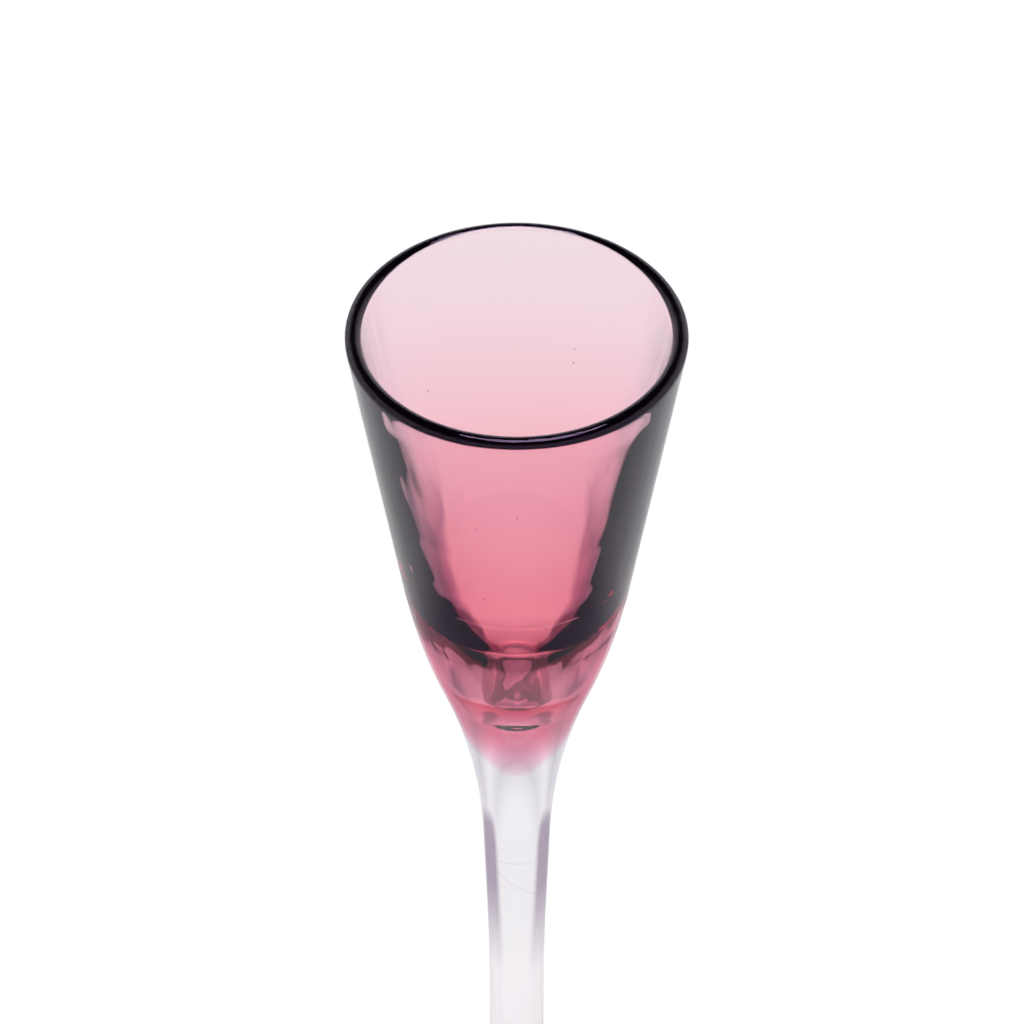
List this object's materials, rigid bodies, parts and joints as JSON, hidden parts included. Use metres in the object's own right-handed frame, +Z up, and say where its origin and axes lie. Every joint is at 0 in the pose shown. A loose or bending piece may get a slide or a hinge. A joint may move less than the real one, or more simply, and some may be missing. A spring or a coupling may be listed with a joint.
{
  "type": "cordial glass",
  "caption": "Tall-stemmed hand-blown cordial glass: conical amethyst bowl with a solid drop, set in a clear neck, with a clear stem and round foot.",
  "frame": {"origin": "centre of the foot's underside, on the plane that the glass stands on", "axes": "+Z up along the stem's axis to the lip; the glass is the same all round, so +X and +Y are free"},
  "size_m": [0.058, 0.058, 0.185],
  "materials": {
    "amethyst_glass": "fire-polished",
    "clear_glass": "fire-polished"
  },
  "bodies": {
    "root": {"bowl": "amethyst_glass", "neck": "clear_glass", "stem": "clear_glass", "foot": "clear_glass"}
  },
  "joints": []
}
